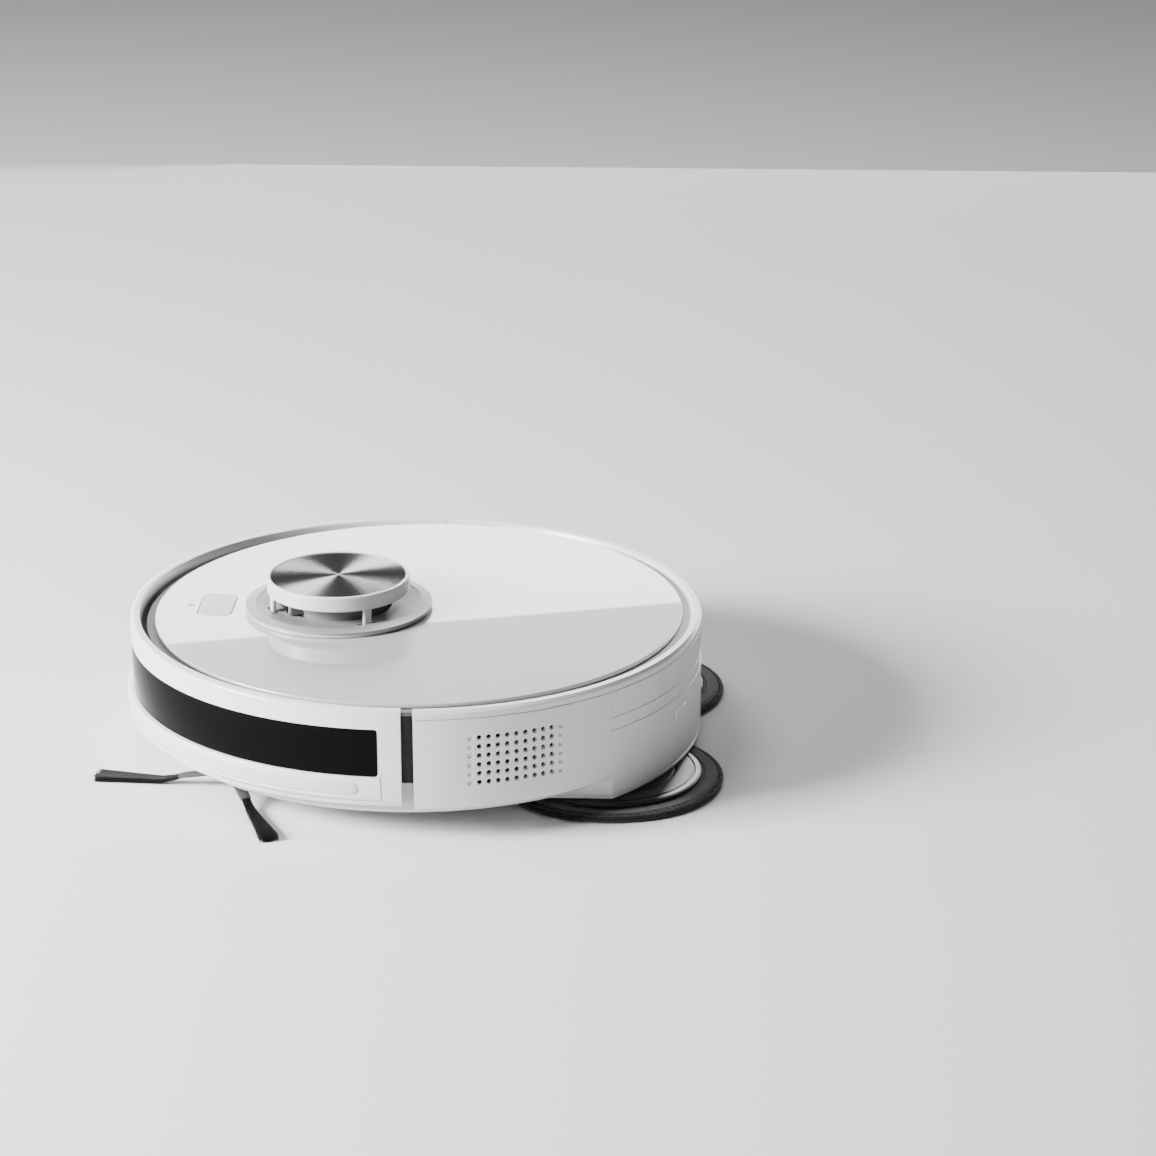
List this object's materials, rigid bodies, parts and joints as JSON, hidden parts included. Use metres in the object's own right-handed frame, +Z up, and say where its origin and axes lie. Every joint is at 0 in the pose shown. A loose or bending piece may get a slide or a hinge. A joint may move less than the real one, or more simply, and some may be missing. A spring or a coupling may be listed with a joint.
{
  "type": "robot vacuum",
  "caption": "Round robot vacuum with a lidar turret, sprung front bumper with an infrared window, a side brush and spinning mop pads under a pull-out rear module.",
  "frame": {"origin": "on the floor, at the centre of the round body; the middle of the bounding box's underside falls within the check's tolerance of it", "axes": "+Z up, +Y towards the rear, where the mop module pulls out, -Y towards the bumper, +X to the robot's left"},
  "size_m": [0.3542, 0.3816, 0.1035],
  "materials": {
    "silver_shell": "satin painted ABS",
    "deck_gloss": "high gloss",
    "grey_plastic": "fine texture",
    "black_plastic": "matt",
    "smoked_window": "polished, passes infrared",
    "soft_strip": "matt",
    "spun_metal": "spun, with a circular grain",
    "dark_rubber": "matt",
    "tyre_rubber": "ribbed",
    "bristle": "nylon filaments",
    "circuit_board": "solder mask",
    "clear_plastic": "smoked clear",
    "mop_fabric": "microfibre pile",
    "filter_paper": "pleated paper",
    "battery_wrap": "shrink wrap",
    "contact_metal": "nickel plated"
  },
  "bodies": {
    "chassis": {"top_cover": "silver_shell", "side_shell_left": "silver_shell", "side_shell_right": "silver_shell", "top_panel": "deck_gloss", "chassis_base": "grey_plastic", "chassis_wall": "grey_plastic", "turret_base": "grey_plastic", "suction_duct": "grey_plastic", "fan_housing": "grey_plastic", "brush_guard": "grey_plastic", "inner_wall": "black_plastic", "bump_switch_left": "black_plastic", "bump_switch_right": "black_plastic", "lidar_mount": "black_plastic", "brush_housing": "black_plastic", "brush_motor": "black_plastic", "side_brush_motor": "black_plastic", "cliff_sensor_left": "smoked_window", "cliff_sensor_right": "smoked_window", "button_board": "circuit_board", "main_board": "circuit_board", "status_lens": "clear_plastic", "battery_pack": "battery_wrap"},
    "bumper": {"bumper_shell": "silver_shell", "bumper_window": "smoked_window", "bumper_skirt": "silver_shell", "bumper_strip": "soft_strip"},
    "turret_cap": {"turret_cap": "silver_shell", "cap_disc": "spun_metal"},
    "lidar_drum": {"lidar_drum": "grey_plastic", "lidar_window": "smoked_window"},
    "power_key": {"power_key": "silver_shell"},
    "home_key": {"home_key": "silver_shell"},
    "wheel_arm_left": {"wheel_arm_left": "black_plastic"},
    "wheel_arm_right": {"wheel_arm_right": "black_plastic"},
    "wheel_left": {"wheel_hub_left": "grey_plastic", "wheel_tyre_left": "tyre_rubber"},
    "wheel_right": {"wheel_hub_right": "grey_plastic", "wheel_tyre_right": "tyre_rubber"},
    "caster_fork": {"caster_fork": "grey_plastic"},
    "caster_wheel": {"caster_wheel": "dark_rubber"},
    "main_brush": {"main_brush": "dark_rubber"},
    "side_brush": {"side_brush_hub": "dark_rubber", "side_brush_tuft_1": "bristle", "side_brush_tuft_2": "bristle", "side_brush_tuft_3": "bristle"},
    "fan": {"fan_impeller": "black_plastic"},
    "module": {"module_shell": "silver_shell", "dust_box": "clear_plastic", "dust_filter": "filter_paper", "water_tank": "clear_plastic", "tank_plug": "dark_rubber", "mop_drive": "black_plastic", "charge_contact_left": "contact_metal", "charge_contact_right": "contact_metal"},
    "module_release": {"module_release": "grey_plastic"},
    "mop_left": {"mop_plate_left": "grey_plastic", "mop_cloth_left": "mop_fabric"},
    "mop_right": {"mop_plate_right": "grey_plastic", "mop_cloth_right": "mop_fabric"}
  },
  "joints": [
    {"name": "bumper_press", "type": "slide", "parent": "chassis", "child": "bumper", "axis": [0, 1, 0], "range_m": [0, 0.004], "stiffness_N_per_m": 350},
    {"name": "turret_cap_press", "type": "slide", "parent": "chassis", "child": "turret_cap", "axis": [0, 0, -1], "range_m": [0, 0.0015], "stiffness_N_per_m": 900},
    {"name": "lidar_spin", "type": "hinge", "parent": "chassis", "child": "lidar_drum", "pos_m": [0, -0.05, 0.08], "axis": [0, 0, 1], "continuous": true},
    {"name": "power_key_press", "type": "slide", "parent": "chassis", "child": "power_key", "axis": [0, 0, -1], "range_m": [0, 0.0006], "stiffness_N_per_m": 800},
    {"name": "home_key_press", "type": "slide", "parent": "chassis", "child": "home_key", "axis": [0, 0, -1], "range_m": [0, 0.0006], "stiffness_N_per_m": 800},
    {"name": "wheel_arm_left_swing", "type": "hinge", "parent": "chassis", "child": "wheel_arm_left", "pos_m": [0.107, -0.05, 0.048], "axis": [1, 0, 0], "range_deg": [-18, 2]},
    {"name": "wheel_left_spin", "type": "hinge", "parent": "wheel_arm_left", "child": "wheel_left", "pos_m": [0.121, 0.002, 0.035], "axis": [1, 0, 0], "continuous": true},
    {"name": "wheel_arm_right_swing", "type": "hinge", "parent": "chassis", "child": "wheel_arm_right", "pos_m": [-0.107, -0.05, 0.048], "axis": [1, 0, 0], "range_deg": [-18, 2]},
    {"name": "wheel_right_spin", "type": "hinge", "parent": "wheel_arm_right", "child": "wheel_right", "pos_m": [-0.121, 0.002, 0.035], "axis": [1, 0, 0], "continuous": true},
    {"name": "caster_swivel", "type": "hinge", "parent": "chassis", "child": "caster_fork", "pos_m": [0, -0.141, 0.0233], "axis": [0, 0, 1], "continuous": true},
    {"name": "caster_roll", "type": "hinge", "parent": "caster_fork", "child": "caster_wheel", "pos_m": [0, -0.136, 0.011], "axis": [1, 0, 0], "continuous": true},
    {"name": "main_brush_spin", "type": "hinge", "parent": "chassis", "child": "main_brush", "pos_m": [0, -0.065, 0.0225], "axis": [1, 0, 0], "continuous": true},
    {"name": "side_brush_spin", "type": "hinge", "parent": "chassis", "child": "side_brush", "pos_m": [0.097, -0.106, 0.01], "axis": [0, 0, 1], "continuous": true},
    {"name": "fan_spin", "type": "hinge", "parent": "chassis", "child": "fan", "pos_m": [0.042, 0.02, 0.05], "axis": [0, 0, 1], "continuous": true},
    {"name": "module_slide", "type": "slide", "parent": "chassis", "child": "module", "axis": [0, 1, 0], "range_m": [0, 0.13]},
    {"name": "module_release_press", "type": "slide", "parent": "module", "child": "module_release", "axis": [0, -1, 0], "range_m": [0, 0.002], "stiffness_N_per_m": 600},
    {"name": "mop_left_spin", "type": "hinge", "parent": "module", "child": "mop_left", "pos_m": [0.0735, 0.12, 0.005], "axis": [0, 0, 1], "continuous": true},
    {"name": "mop_right_spin", "type": "hinge", "parent": "module", "child": "mop_right", "pos_m": [-0.0735, 0.12, 0.005], "axis": [0, 0, 1], "continuous": true}
  ],
  "couplings": [
    {"joint": "mop_right_spin", "follows": "mop_left_spin", "ratio": -1}
  ]
}
